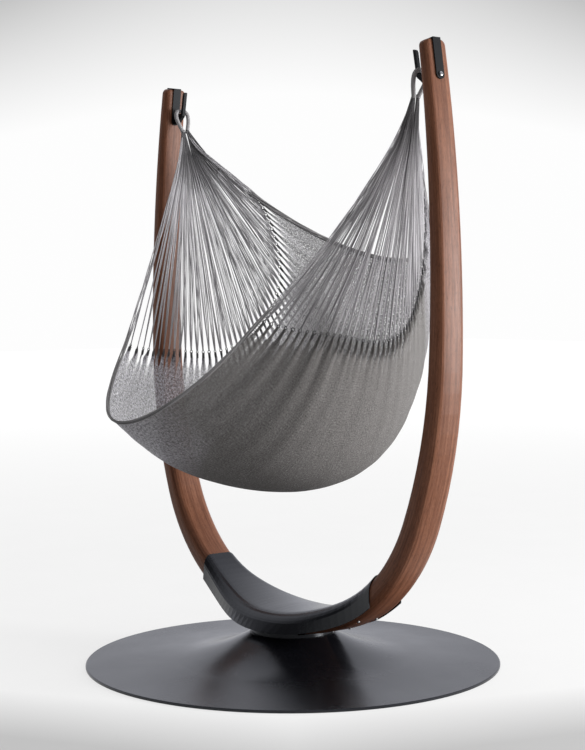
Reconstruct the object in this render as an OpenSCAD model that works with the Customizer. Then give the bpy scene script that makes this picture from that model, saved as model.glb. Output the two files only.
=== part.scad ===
// Hammock on a stand: a round base with a swivel, a bent wooden U, and a hammock between its tips.
// X runs through both arms of the U, Z is up, and the origin is on the floor under the base's centre.

/* [Base] */
// Diameter of the round base
base_d = 1400; // [1380:5:1420]
// Height of the base's rim above the floor
rim_h = 9.5; // [9:0.5:11]
// Outer radius of the neck in the middle of the base
neck_r = 145; // [143:1:148]
// Height of the neck's top above the floor
neck_h = 103; // [102:0.5:104]
// Radius of the cover's outer sweep, which rises slowly from the rim
outer_sweep_r = 3400; // [3000:50:4000]
// Distance from the middle at which it passes into the steeper sweep up to the neck
sweep_meet_r = 400; // [370:5:430]
// Thickness of the cover's sheet
cover_t = 4; // [3:0.5:5]
// Number of rubber pads under the base
pad_count = 12; // [8:1:16]

/* [Swivel] */
// Number of balls in the swivel bearing
ball_count = 20; // [12:1:24]
// Radius of the circle that the balls run on
ball_pitch_r = 68; // [67:0.5:69]
// Radius of the spindle
spindle_r = 17.95; // [17.9:0.05:17.95]
// Number of gussets round the post
rib_count = 8; // [6:1:12]

/* [Arms] */
// Height of the arms' centre line in the middle of the U
arm_z = 149.8; // [149.8:0.2:150.6]
// Width of an arm at the foot
arm_w_foot = 141.1; // [139:0.1:142]
// Width of an arm at the tip
arm_w_tip = 86.6; // [80:0.2:90]
// Thickness of an arm at the foot
arm_t_foot = 84.9; // [84:0.1:85]
// Thickness of an arm at the tip
arm_t_tip = 37.2; // [37:0.1:37.4]
// Radius on the corners of an arm's tip
tip_round = 18; // [10:1:24]

/* [Cradle] */
// Length of the cradle left of the middle, along the wood
cradle_left = 449; // [430:1:470]
// Length of the cradle right of the middle, along the wood
cradle_right = 510; // [480:1:520]
// How much wider the cradle grows on each side towards the middle
cradle_bulge = 90.3; // [80:0.1:95]
// Thickness of the cradle's sheet
cradle_t = 3.2; // [2.5:0.1:3.2]

/* [Hooks] */
// Width of the strap that goes over an arm's tip
strap_w = 31; // [28:1:34]
// Thickness of the strap
strap_t = 4.2; // [3:0.1:5]
// Diameter of the bolt's round head
bolt_head_d = 14; // [13:0.5:17]

/* [Hammock] */
// Height of the point that the end strings spread from
gather_z = 1818; // [1816:1:1820]
// Distance of that point from the middle of the stand
gather_x = 622; // [621:1:623]
// Diameter of the end rope
rope_d = 14; // [12:0.5:14]
// Number of end strings on each side
string_count = 30; // [20:1:32]
// Thickness of the cloth with its folds, at the front edge
cloth_t_front = 4.9; // [3:0.1:6]
// Thickness of the cloth with its folds, at the back edge
cloth_t_back = 3; // [2:0.1:4]
// Diameter of the rolled front edge
front_edge_d = 10; // [7:0.5:12]
// Diameter of the rolled back edge
back_edge_d = 12; // [8:0.5:14]

/* [Hidden] */
$fn = 96;
steel = [0.62, 0.63, 0.65];
black_metal = [0.11, 0.11, 0.12];
red_wood = [0.42, 0.22, 0.13];
off_white = [0.78, 0.76, 0.80];
rubber = [0.07, 0.07, 0.07];

// Base: the cover is a spun sheet, and the plate inside it is the ballast
base_r = base_d / 2;
pad_h = 2;
plate_top = 5.4;
rim_r = base_r - 3;
meet_turn = asin((rim_r - sweep_meet_r) / outer_sweep_r);
meet_z = rim_h + outer_sweep_r * (1 - cos(meet_turn));
neck_turn = atan2(neck_h - meet_z, sweep_meet_r - neck_r);
// The inner sweep leaves the outer one at a tangent and ends at the neck
inner_sweep_r = norm([neck_h - meet_z, sweep_meet_r - neck_r]) / (2 * sin(neck_turn - meet_turn));
lip_r = neck_r - 27;

// Swivel: heights are counted down from the neck's top
hub_r = 138;
hub_z = neck_h + 1.5;
hub_wall_z = 150;
boss_r = 90;
boss_z = neck_h - 19;
ball_r = 5.95;
ball_z = boss_z - 12;
race_in = 50;
race_out = 85;
race_h = 10;
groove_r = 6.05;
post_top = ball_z - 2 - race_h;
post_web = 22;
bush_r = 22;
spindle_head_r = 30;
spindle_head_z = 98;
hub_bolt_x = 60;
hub_bolt_y = 38;
bolt_r = 5;

// Arms: four arcs, each tangent to the next, from the middle of the U to a tip
bend_r = [894, 583, 1472, 4978];
bend_a = [20.3, 47.4, 20.4, 11.1];
corner_share = 0.36;

// Cradle: its swelling ends at swell_reach, and its width follows the wood's width wall_back nearer
// the middle, which leaves room at its ends
swell_reach = 490;
wall_back = 30;

// Screws that hold the cradle, at these places along the wood
screw_places = [250, 386];
screw_y = 38;
screw_r = 3;
nut_r = 6.5;

// Hook: the tongue leans in from its tip, and the rope lies behind it on the saddle
tongue_lean = 10.8;
tongue_t = 12;
tongue_w = 11.4;
tongue_foot = [641.6, 1889];
tongue_top_z = 1983;
saddle_z = 1909.8;
rope_z = 1918;
saddle_slope = 28;
outer_leg = 124;
inner_leg = 129;
bolt_drop = 109;
bolt_head_h = 5;

// Hammock: values on five lines of the cloth from the front edge to the back edge.
// The angle that a line hangs at, from straight down, seen along the stand
hang_angle = [-34.6, -14.8, 8.2, 28.1, 47.8];
// How far the middle of the line hangs from the gather points
hang_reach = [1184, 1227, 1219, 1039, 683];
// Length of its end strings
string_len = [865, 783, 766, 638, 359];
// How far its end strings lean in
string_lean = [18.9, 12.9, 14.4, 22, 30.9];
// The share of its sag that gathers near its ends; the rest is a plain parabola
steep_share = [0.15, 0.61, 0.59, 0.57, 0.36];
// How much the line turns between its middle and its ends, at the front and the back
line_twist = [3.4, -6.7];
// How much longer the left strings are than the mean, and the right ones shorter
string_skew = [49, -8];
// How far the front edge's strings bow in towards the back, at the left and the right, and the
// share of the fan that bows with them
string_bow = [13, 33];
bow_share = 0.32;
// How far down the strings the bunch under the rope reaches
gather_reach = 110;
cloth_cols = 26;
cloth_rows = 20;

// ---- Shared functions ----
function mix(a, b, t) = a + (b - a) * t;
function unit(v) = v / norm(v);
function add_up(list, i) = i <= 0 ? 0 : list[i - 1] + add_up(list, i - 1);

// Smooth curve through evenly spaced values, at v from 0 to 1
function slope(c, i) = let (n = len(c) - 1)
    i == 0 ? c[1] - c[0] : i == n ? c[n] - c[n - 1] : (c[i + 1] - c[i - 1]) / 2;
function along(c, v) = let (
        n = len(c) - 1,
        i = min(floor(v * n), n - 1),
        t = v * n - i
    )
    c[i] * (2 * pow(t, 3) - 3 * pow(t, 2) + 1) + slope(c, i) * (pow(t, 3) - 2 * pow(t, 2) + t)
    + c[i + 1] * (3 * pow(t, 2) - 2 * pow(t, 3)) + slope(c, i + 1) * (pow(t, 3) - pow(t, 2));

// Sides of a loft whose rings all have m points
function loft_sides(rings, m) = [
    for (k = [0:rings - 2], i = [0:m - 1]) each let (a = k * m, b = a + m, j = (i + 1) % m)
        [[a + i, a + j, b + j], [a + i, b + j, b + i]]
];
function fan_cap(first, m) = [for (i = [1:m - 2]) [first, first + i, first + i + 1]];
function flipped(faces) = [for (f = faces) [f[2], f[1], f[0]]];

// Loft with convex ends. Rings run anticlockwise seen from the end that they start at
module loft(rings) {
    m = len(rings[0]);
    n = len(rings);
    polyhedron(
        points = [for (r = rings) each r],
        faces = concat(loft_sides(n, m), flipped(fan_cap(0, m)), fan_cap((n - 1) * m, m)),
        convexity = 6
    );
}

// Rings of a tube along a path; across is a direction that the path never takes
function tube_rings(path, radii, sides, across) = [
    for (k = [0:len(path) - 1]) let (
        dir = unit(path[min(k + 1, len(path) - 1)] - path[max(k - 1, 0)]),
        a = unit(cross(dir, across)),
        b = cross(dir, a)
    ) [for (i = [0:sides - 1]) let (w = -360 * i / sides) path[k] + radii[k] * (cos(w) * a + sin(w) * b)]
];

// ---- Base ----
module cover_outline(inset) {
    difference() {
        polygon([
            [0, 0], [base_r - inset, 0], [base_r - inset, rim_h - inset - 2.5],
            [rim_r - inset, rim_h - inset], [neck_r + inset, neck_h - inset], [0, neck_h - inset]
        ]);
        intersection() {
            translate([rim_r, rim_h + outer_sweep_r]) circle(outer_sweep_r + inset, $fn = 720);
            translate([sweep_meet_r, 0]) square([base_r, 2 * neck_h]);
        }
        translate([sweep_meet_r, meet_z] + inner_sweep_r * [sin(meet_turn), cos(meet_turn)])
            circle(inner_sweep_r + inset, $fn = 240);
    }
}

module base_disc() {
    color(black_metal) rotate_extrude($fn = 180) difference() {
        cover_outline(0);
        cover_outline(cover_t);
        translate([-1, -1]) square([lip_r + 1, neck_h + 2]);
        translate([-1, -1]) square([base_r + 2, 2]);
    }
}

module floor_plate() {
    color(steel) translate([0, 0, pad_h]) difference() {
        cylinder(h = plate_top - pad_h, r = base_r - 8, $fn = 180);
        translate([0, 0, -1]) cylinder(h = plate_top, r = 100);
    }
}

module floor_pads() {
    color(rubber) for (i = [0:pad_count - 1]) rotate(360 * i / pad_count)
        translate([base_r - 50, 0, 0]) cylinder(h = pad_h, r = 25);
}

module hub_post() {
    color(black_metal) rotate_extrude() difference() {
        union() {
            translate([40, plate_top]) square([70, 5.6]);
            translate([60, plate_top]) square([8, post_top - plate_top]);
            translate([bush_r, post_top - 8 - post_web]) square([40, post_web]);
            translate([bush_r, post_top - 8]) square([95 - bush_r, 8]);
        }
        translate([0, post_top - 8]) square([28, 9]);
    }
}

module hub_ribs() {
    color(black_metal) for (i = [0:rib_count - 1]) rotate([90, 0, 360 * i / rib_count])
        translate([0, 0, -2.5]) linear_extrude(5) difference() {
            polygon([
                [68.2, plate_top], [255.2, plate_top], [255.2, plate_top + 8],
                [110.2, neck_h - cover_t - 6], [68.2, neck_h - cover_t - 6]
            ]);
            translate([0, post_top - 8.2]) square([95.2, 99]);
            translate([0, plate_top - 1]) square([110.2, 6.8]);
        }
}

// ---- Swivel ----
module race(z) {
    rotate_extrude($fn = 120) difference() {
        translate([race_in, z]) square([race_out - race_in, race_h]);
        translate([ball_pitch_r, ball_z]) circle(groove_r);
    }
}

module bearing_lower_race() {
    color(steel) race(post_top);
}

module bearing_upper_race() {
    color(steel) race(boss_z - race_h);
}

module on_ball_circle() {
    for (i = [0:ball_count - 1]) rotate(360 * i / ball_count)
        translate([ball_pitch_r, 0, ball_z]) children();
}

module bearing_cage() {
    color("goldenrod") difference() {
        translate([0, 0, ball_z - 1.5]) cylinder(h = 3, r = ball_pitch_r + 8);
        translate([0, 0, ball_z - 5]) cylinder(h = 10, r = ball_pitch_r - 8);
        on_ball_circle() cylinder(h = 10, r = ball_r + 0.1, center = true, $fn = 32);
    }
}

module bearing_balls() {
    color(steel) on_ball_circle() sphere(ball_r, $fn = 32);
}

module spindle_bush() {
    color("goldenrod") translate([0, 0, post_top - 8 - post_web]) difference() {
        cylinder(h = post_web, r = bush_r);
        translate([0, 0, -1]) cylinder(h = post_web + 2, r = 18);
    }
}

module dust_seal() {
    color(rubber) translate([0, 0, neck_h]) difference() {
        cylinder(h = 1.2, r = lip_r + 15);
        translate([0, 0, -1]) cylinder(h = 4, r = lip_r + 3);
    }
}

module at_hub_bolts() {
    for (x = [-hub_bolt_x, hub_bolt_x], y = [-hub_bolt_y, hub_bolt_y])
        translate([x, y, 0]) children();
}

module swivel_hub() {
    channel_r = bend_r[0] + arm_t_foot / 2 + 0.35;
    channel_w = arm_w_foot + 1.3;
    color(black_metal) difference() {
        union() {
            translate([0, 0, hub_z]) cylinder(h = hub_wall_z - hub_z, r = hub_r);
            translate([0, 0, boss_z]) cylinder(h = 30, r = boss_r);
        }
        intersection() {
            translate([0, 0, arm_z + bend_r[0]]) rotate([90, 0, 0])
                cylinder(h = channel_w, r = channel_r, center = true, $fn = 360);
            translate([-200, -channel_w / 2, 0]) cube([400, channel_w, 400]);
        }
        translate([0, 0, boss_z - 1]) cylinder(h = 40, r = 18);
        translate([0, 0, spindle_head_z]) cylinder(h = 40, r = spindle_head_r + 0.3);
        at_hub_bolts() cylinder(h = 300, r = bolt_r + 0.2, $fn = 32);
        at_hub_bolts() cylinder(h = boss_z + 8.2, r = 9.5, $fn = 32);
    }
}

module spindle() {
    color(steel) union() {
        translate([0, 0, 12]) cylinder(h = spindle_head_z - 11, r = spindle_r);
        translate([0, 0, spindle_head_z]) cylinder(h = 8.3, r = spindle_head_r);
    }
}

module retaining_washer() {
    top = post_top - 8 - post_web - 0.2;
    color(steel) translate([0, 0, top - 3.8]) difference() {
        cylinder(h = 3.8, r = 30);
        translate([0, 0, -1]) cylinder(h = 6, r = 18);
    }
}

module retaining_nut() {
    top = post_top - 8 - post_web - 4;
    color(steel) translate([0, 0, top - 12]) difference() {
        cylinder(h = 12, r = 28, $fn = 6);
        translate([0, 0, -1]) cylinder(h = 14, r = 18);
    }
}

module hub_bolts() {
    color(steel) at_hub_bolts() {
        translate([0, 0, boss_z + 0.2]) cylinder(h = 7.8, r = 9, $fn = 32);
        translate([0, 0, boss_z + 7]) cylinder(h = 165 - boss_z - 7, r = bolt_r, $fn = 32);
    }
}

module threaded_inserts() {
    color("goldenrod") at_hub_bolts() translate([0, 0, 135]) difference() {
        cylinder(h = 30.5, r = 8, $fn = 32);
        translate([0, 0, -1]) cylinder(h = 40, r = bolt_r + 0.05, $fn = 32);
    }
}

// ---- Arms ----
bend_len = [for (i = [0:3]) bend_r[i] * bend_a[i] * PI / 180];
arm_len = add_up(bend_len, 4);
function bend_start(i) = i == 0 ? [0, arm_z] : let (a = add_up(bend_a, i - 1), b = add_up(bend_a, i))
    bend_start(i - 1) + bend_r[i - 1] * [sin(b) - sin(a), cos(a) - cos(b)];
function bend_of(s) = s < bend_len[0] ? 0 : s < add_up(bend_len, 2) ? 1 : s < add_up(bend_len, 3) ? 2 : 3;
// Direction of the centre line at a length s from the middle, and its place there, as [x, z]
function line_angle(s) = let (i = bend_of(s))
    add_up(bend_a, i) + (s - add_up(bend_len, i)) / bend_r[i] * 180 / PI;
function line_place(s) = let (i = bend_of(s), a = add_up(bend_a, i), b = line_angle(s))
    bend_start(i) + bend_r[i] * [sin(b) - sin(a), cos(a) - cos(b)];
// Place of a point that lies y across the wood and n above its centre line, s along it
function on_wood(s, y, n) = let (p = line_place(abs(s)), a = line_angle(abs(s)), side = s < 0 ? -1 : 1)
    [side * (p[0] - n * sin(a)), y, p[1] + n * cos(a)];
function arm_w(s) = mix(arm_w_foot, arm_w_tip, s / arm_len);
function arm_t(s) = mix(arm_t_foot, arm_t_tip, s / arm_len);

function rounded_box(w, t, r) = [
    for (c = [0:3], i = [0:4]) let (
        a = 90 * c + 22.5 * i,
        side = c == 0 || c == 3 ? 1 : -1,
        up = c < 2 ? 1 : -1
    ) [side * (w / 2 - r) + r * cos(a), -up * (t / 2 - r) - r * sin(a)]
];

// Each station is a length along the wood and how much its end is rounded off there.
// They stand closer in the first two bends, which are the sharp ones
sharp_len = add_up(bend_len, 2);
arm_stations = concat(
    [for (i = [0:39]) [sharp_len * i / 40, 0]],
    [for (i = [0:24]) [mix(sharp_len, arm_len - tip_round, i / 24), 0]],
    [for (a = [18:18:90]) [arm_len - tip_round + tip_round * sin(a), tip_round * (1 - cos(a))]]
);

module bent_arm() {
    loft([
        for (st = arm_stations) let (
            s = st[0],
            t = arm_t(s),
            ring = rounded_box(arm_w(s) - 2 * st[1], t - 0.3 * st[1], corner_share * t - 0.3 * st[1])
        ) [for (p = ring) on_wood(s, p[0], p[1])]
    ]);
}

// Puts its children at a screw place: their Z runs up through the wood from its underside
module at_screws(side) {
    for (s = screw_places, y = [-screw_y, screw_y])
        let (p = on_wood(side * s, y, -arm_t(s) / 2), a = -side * line_angle(s))
            translate(p) rotate([0, a, 0]) children();
}

// The frame of an arm's tip: X points out from the stand and Z along the arm
module at_tip() {
    translate(on_wood(arm_len, 0, 0)) rotate([0, 90 - line_angle(arm_len), 0]) children();
}

module drilled_arm() {
    difference() {
        bent_arm();
        at_screws(1) translate([0, 0, -1]) cylinder(h = 100, r = screw_r + 0.2, $fn = 32);
        at_screws(1) translate([0, 0, 64]) cylinder(h = 40, r = nut_r + 0.4, $fn = 32);
        for (y = [-hub_bolt_y, hub_bolt_y]) translate([hub_bolt_x, y, 0]) {
            translate([0, 0, 90]) cylinder(h = 45, r = bolt_r + 0.2, $fn = 32);
            translate([0, 0, 134.9]) cylinder(h = 31, r = 8.05, $fn = 32);
        }
        bolt_bore(-40, 40, 5.2);
    }
}

module arm_right() {
    color(red_wood) drilled_arm();
}

module arm_left() {
    color(red_wood) mirror([1, 0, 0]) drilled_arm();
}

// ---- Cradle ----
// How far the cradle has swollen at s: 1 in the middle of the U and 0 past swell_reach
function swell(s) = pow((1 + cos(180 * min(1, abs(s) / swell_reach))) / 2, 1.08);
// Its ends are cut upright, with the crown a little longer: how far a point at height n steps along
// the wood there
function end_step(s, n) =
    sign(s) * pow(abs(s) / cradle_right, 4) * (0.76 * n + 0.01 * pow(max(0, n), 2));

// One half of its outer section at s, as [y, n] from the crown to the lower edge
function cradle_half(s) = let (
        b = swell(s),
        half_w = arm_w(max(0, abs(s) - wall_back)) / 2 + 3.5 + cradle_bulge * b,
        round = corner_share * arm_t(abs(s)) + 3.5 + 29.5 * b,
        turn = 90 - 44 * b,
        top = arm_t(abs(s)) / 2 + 4.1 + 1.8 * b,
        flat_w = half_w - round
    )
    concat(
        [for (i = [0:6]) let (y = flat_w * i / 6) [y, top - 26 * b * pow(y / half_w, 2)]],
        [for (i = [1:6]) let (a = turn * i / 6, y = flat_w + round * sin(a))
            [y, top - 26 * b * pow(y / half_w, 2) - round * (1 - cos(a))]],
        [[half_w, -33 + 8.4 * pow(b, 3)]]
    );
function both_halves(h) = concat([for (i = [len(h) - 1:-1:1]) [-h[i][0], h[i][1]]], h);
function inset_line(p, t) = let (last = len(p) - 1) [
    for (i = [0:last]) let (d = unit(p[min(i + 1, last)] - p[max(i - 1, 0)])) p[i] - t * [-d[1], d[0]]
];

module cradle() {
    places = [for (i = [-16:16]) (i < 0 ? cradle_left : cradle_right) * i / 16];
    outer = [for (s = places) both_halves(cradle_half(s))];
    k = len(outer[0]);
    m = 2 * k;
    rings = [
        for (j = [0:len(places) - 1]) let (inner = inset_line(outer[j], cradle_t))
            [for (i = [0:m - 1]) let (p = i < k ? outer[j][i] : inner[m - 1 - i])
                on_wood(places[j] + end_step(places[j], p[1]), p[0], p[1])]
    ];
    cap = [for (i = [0:k - 2]) each [[i, i + 1, m - 2 - i], [i, m - 2 - i, m - 1 - i]]];
    far = (len(places) - 1) * m;
    color(black_metal) polyhedron(
        points = [for (r = rings) each r],
        faces = concat(loft_sides(len(rings), m), flipped(cap), [for (f = cap) [for (v = f) v + far]]),
        convexity = 8
    );
}

module cradle_screws() {
    color(steel) for (side = [-1, 1]) at_screws(side) union() {
        translate([0, 0, -3]) cylinder(h = 3, r1 = 4, r2 = 5.5, $fn = 32);
        cylinder(h = 68, r = screw_r, $fn = 32);
    }
}

module cradle_nuts() {
    color(steel) for (side = [-1, 1]) at_screws(side) translate([0, 0, 64.5]) difference() {
        cylinder(h = 10, r = nut_r, $fn = 32);
        translate([0, 0, -1]) cylinder(h = 20, r = screw_r + 0.05, $fn = 32);
    }
}

// ---- Hooks ----
// A point of the strap in the tip's frame: it lies on the arm's faces, so its legs spread with the taper
// and bend with the wood. l counts down from the tip, and out from the arm's face
leg_spread = (arm_t_foot - arm_t_tip) / arm_len / 2;
function leg_x(side, l, out) =
    side * (arm_t_tip / 2 + 0.3 + leg_spread * l + out) - pow(l, 2) / 2 / bend_r[3];
function leg(side, length, out, order) = [
    for (i = order) let (l = mix(-0.4 - out, length, i / 4)) [leg_x(side, l, out), -l]
];
down = [0:4];
up = [4:-1:0];

module strap_section() {
    polygon(concat(
        leg(1, outer_leg, 0, down), leg(1, outer_leg, strap_t, up),
        leg(-1, inner_leg, strap_t, down), leg(-1, inner_leg, 0, up)
    ));
}

// What is cut off a leg's end to leave a half circle
module end_waste(x, length) {
    r = strap_w / 2;
    translate([x, 0, -length]) rotate([90, 0, 90]) linear_extrude(30) difference() {
        translate([-r - 1, -1]) square([2 * r + 2, r + 1]);
        translate([0, r]) circle(r);
    }
}

module strap() {
    difference() {
        rotate([90, 0, 0]) linear_extrude(strap_w, center = true) strap_section();
        end_waste(5, outer_leg);
        end_waste(-35, inner_leg);
    }
}

// The hook is a thick plate on the strap's inner leg, drawn as [x, z]. Its back edge lies in the middle
// of the leg, and its tongue leans in above the saddle
function in_leg(l) = let (p = line_place(arm_len), a = line_angle(arm_len), x = leg_x(-1, l, strap_t / 2))
    p + x * [sin(a), -cos(a)] - l * [cos(a), sin(a)];
function tongue_x(z) = tongue_foot[0] - tan(tongue_lean) * (z - tongue_foot[1]);
half_t = tongue_t / 2 / cos(tongue_lean);
hook_points = [
    in_leg(126), in_leg(97), [662, saddle_z], [tongue_x(saddle_z) + half_t, saddle_z],
    [tongue_x(1974) + half_t, 1974], [tongue_x(1980) + half_t - 2, 1980],
    [tongue_x(tongue_top_z) + half_t - 6, tongue_top_z],
    [tongue_x(tongue_top_z) - half_t + 1.5, tongue_top_z],
    [tongue_x(1981) - half_t, 1981], [tongue_x(1900) - half_t, 1900], [tongue_foot[0] - 2, 1894],
    [tongue_foot[0] + 7, 1888], [tongue_foot[0] + 18, 1879], [tongue_foot[0] + 32, 1871.5]
];

// A hole along the strap's bolt, between two distances out from the arm's centre line
module bolt_bore(from, to, r) {
    at_tip() translate([from, 0, -bolt_drop]) rotate([0, 90, 0]) cylinder(h = to - from, r = r, $fn = 48);
}

module hook_right() {
    color(black_metal) difference() {
        union() {
            at_tip() strap();
            translate([0, tongue_w / 2, 0]) rotate([90, 0, 0]) linear_extrude(tongue_w) polygon(hook_points);
        }
        // The saddle slopes to both sides so that the rope can rock on it
        for (side = [-1, 1]) translate([tongue_x(saddle_z) + half_t, 0, saddle_z])
            rotate([-side * saddle_slope, 0, 0]) translate([0, side > 0 ? 0.8 : -40.8, 0]) cube([27, 40, 18]);
        bolt_bore(leg_x(-1, bolt_drop, strap_t) - 0.1, 60, 5.1);
    }
}

module hook_left() {
    mirror([1, 0, 0]) hook_right();
}

module hook_bolt_right() {
    face = leg_x(1, bolt_drop, strap_t) + 0.2;
    length = face - leg_x(-1, bolt_drop, strap_t) - 0.3;
    color(steel) at_tip() translate([face, 0, -bolt_drop]) rotate([0, 90, 0]) difference() {
        union() {
            rotate_extrude($fn = 48) intersection() {
                translate([0, bolt_head_h - 14]) circle(14);
                square([bolt_head_d / 2, bolt_head_h]);
            }
            translate([0, 0, -length]) cylinder(h = length + 1, r = 5, $fn = 48);
        }
        translate([0, 0, 2]) cylinder(h = 5, r = 3.4, $fn = 6);
    }
}

module hook_bolt_left() {
    mirror([1, 0, 0]) hook_bolt_right();
}

// ---- Hammock ----
// Length of the end string on line v of the cloth, and where its lower end is, as [x, distance, angle]
function string_at(side, v) = along(string_len, v) - side * mix(string_skew[0], string_skew[1], v);
function string_end(side, v) = let (l = string_at(side, v), a = along(string_lean, v))
    [gather_x - l * sin(a), l * cos(a), along(hang_angle, v) + mix(line_twist[0], line_twist[1], v)];
function hung(side, x, reach, angle) = [side * x, reach * sin(angle), gather_z - reach * cos(angle)];

// A point of the cloth on line v: q is 0 in the middle of the line and 1 at its end
function cloth_point(side, v, q) = let (
        end = string_end(side, v),
        middle = along(hang_reach, v),
        share = along(steep_share, v),
        drop = middle - end[1],
        steep = end[0] / (tan(along(string_lean, v)) * drop),
        power = max(2.05, (steep - 2 * (1 - share)) / share),
        reach = middle - drop * ((1 - share) * pow(q, 2) + share * pow(q, power))
    )
    hung(side, end[0] * q, reach, along(hang_angle, v) + mix(line_twist[0], line_twist[1], v) * pow(q, 2));
// The same from u = -1 at the left end to 1 at the right end
function on_cloth(u, v) = cloth_point(u < 0 ? -1 : 1, v, abs(u));
function cloth_up(u, v) = let (
        du = on_cloth(min(u + 0.02, 1), v) - on_cloth(max(u - 0.02, -1), v),
        dv = on_cloth(u, min(v + 0.02, 1)) - on_cloth(u, max(v - 0.02, 0))
    ) unit(cross(du, dv));

function gather_point(side) = [side * gather_x, 0, gather_z];
function string_foot(side, v) = let (e = string_end(side, v)) hung(side, e[0], e[1], e[2]);
function string_dir(side, v) = unit(string_foot(side, v) - gather_point(side));
function string_step(side, v) = string_dir(side, min(v + 0.02, 1)) - string_dir(side, max(v - 0.02, 0));
function string_side(side, v) = unit(cross(string_dir(side, v), string_step(side, v)));
function bow(side, v) = string_bow[side < 0 ? 0 : 1] * pow(max(0, 1 - v / bow_share), 2);

// The end rope: its route on the +Y side, from behind the tongue down to the gather
half_route = [
    [650.4, 0, rope_z], [650.4, 7, rope_z], [650, 13.5, rope_z - 0.8], [648.6, 19.5, rope_z - 4],
    [646.6, 23.8, rope_z - 11], [644.6, 25.6, rope_z - 20], [641.4, 24.8, rope_z - 32],
    [637, 21.5, rope_z - 45], [632.4, 16.6, rope_z - 58], [628.4, 12, rope_z - 70], [625.6, 8.6, rope_z - 80]
];
route_rest = [for (i = [1:len(half_route) - 1]) half_route[i]];
function far_side(p) = [p[0], -p[1], p[2]];
rope_route = concat([for (i = [len(route_rest) - 1:-1:0]) far_side(route_rest[i])], half_route);
// Two points between each pair round the route off
function spread(i) = [for (k = [0:2]) (i + k / 3) / (len(rope_route) - 1)];
rope_path = concat([for (i = [0:len(rope_route) - 2]) each [for (v = spread(i)) along(rope_route, v)]],
    [rope_route[len(rope_route) - 1]]);

module rope_loop_right() {
    color(off_white) loft(tube_rings(rope_path, [for (p = rope_path) rope_d / 2], 12, [1, 0, 0]));
}

module rope_loop_left() {
    mirror([1, 0, 0]) rope_loop_right();
}

// The bunch that the strings spread from: flat like a fan below, an oval round the rope's ends above
module gather(side) {
    n = 16;
    top = rope_route[0];
    oval = [
        for (i = [0:2 * n + 1]) let (w = i <= n ? mix(8, 172, i / n) : mix(188, 352, (i - n - 1) / n))
            [side * (top[0] + 7.6 * sin(w)), -17.2 * cos(w), top[2] - 3.2]
    ];
    leaf = [
        for (r = [16, 40, 75, gather_reach]) let (h = mix(7.4, 2.8, pow(r / gather_reach, 0.6)))
            [for (i = [0:2 * n + 1]) let (v = i <= n ? i / n : 1 - (i - n - 1) / n, face = i <= n ? 1 : -1)
                gather_point(side) + r * string_dir(side, v) + side * face * h * outward(side, v)]
    ];
    rings = concat([oval], leaf);
    if (side < 0) loft([for (i = [len(rings) - 1:-1:0]) rings[i]]);
    else loft(rings);
}
function outward(side, v) = let (d = string_side(side, v)) d[0] * side > 0 ? d * side : -d * side;

module gather_right() {
    color(off_white) gather(1);
}

module gather_left() {
    color(off_white) gather(-1);
}

module string_fan(side) {
    for (i = [0:string_count - 1]) let (
        v = (i + 0.5) / string_count,
        dir = string_dir(side, v),
        foot = string_foot(side, v) - 9 * dir,
        start = gather_point(side) + (gather_reach + 0.3) * dir,
        in = bow(side, v) * unit(string_step(side, v)),
        at = [0, 0.25, 0.5, 0.75, 1]
    ) loft(tube_rings(
        [for (t = at) mix(start, foot, t) + 4 * t * (1 - t) * in],
        [for (t = at) mix(1.4, 2.4, t)], 6, [0, 1, 0]
    ));
}

module fan_right() {
    color(off_white) string_fan(1);
}

module fan_left() {
    color(off_white) string_fan(-1);
}

module bed() {
    m = cloth_cols + 1;
    u_at = [for (i = [0:cloth_cols]) 2 * i / cloth_cols - 1];
    v_at = [for (j = [0:cloth_rows]) j / cloth_rows];
    skin = [
        for (face = [1, -1], v = v_at, u = u_at)
            on_cloth(u, v) + face * mix(cloth_t_front, cloth_t_back, v) / 2 * cloth_up(u, v)
    ];
    half = m * (cloth_rows + 1);
    top = [
        for (j = [0:cloth_rows - 1], i = [0:cloth_cols - 1]) each let (a = j * m + i)
            [[a, a + m + 1, a + 1], [a, a + m, a + m + 1]]
    ];
    border = concat(
        [for (i = [0:cloth_cols]) i], [for (j = [1:cloth_rows]) j * m + cloth_cols],
        [for (i = [cloth_cols - 1:-1:0]) cloth_rows * m + i], [for (j = [cloth_rows - 1:-1:1]) j * m]
    );
    n = len(border);
    rim = [
        for (i = [0:n - 1]) each let (a = border[i], b = border[(i + 1) % n])
            [[a, b, b + half], [a, b + half, a + half]]
    ];
    color(off_white) polyhedron(
        points = skin,
        faces = concat(top, flipped([for (f = top) [for (v = f) v + half]]), rim),
        convexity = 8
    );
}

// A rolled edge beside the cloth, on line v, stepped away from it
module edge_rope(v, d) {
    step = v > 0.5 ? 1 : -1;
    path = [
        for (i = [0:cloth_cols]) let (
            u = 2 * i / cloth_cols - 1,
            run = unit(on_cloth(min(u + 0.02, 1), v) - on_cloth(max(u - 0.02, -1), v)),
            off = on_cloth(u, v) - on_cloth(u, v - step * 0.03),
            out = unit(off - (off * run) * run)
        ) on_cloth(u, v) + (d / 2 + 0.5) * out
    ];
    loft(tube_rings(path, [for (p = path) d / 2], 8, [0, 1, 0]));
}

module front_edge_rope() {
    color(off_white) edge_rope(0, front_edge_d);
}

module back_edge_rope() {
    color(off_white) edge_rope(1, back_edge_d);
}

base_disc();
floor_plate();
floor_pads();
hub_post();
hub_ribs();
bearing_lower_race();
bearing_cage();
bearing_balls();
spindle_bush();
dust_seal();
bearing_upper_race();
swivel_hub();
spindle();
retaining_washer();
retaining_nut();
hub_bolts();
threaded_inserts();
cradle();
cradle_screws();
cradle_nuts();
arm_left();
arm_right();
hook_left();
hook_right();
hook_bolt_left();
hook_bolt_right();
rope_loop_left();
rope_loop_right();
gather_left();
gather_right();
fan_left();
fan_right();
bed();
front_edge_rope();
back_edge_rope();
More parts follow.
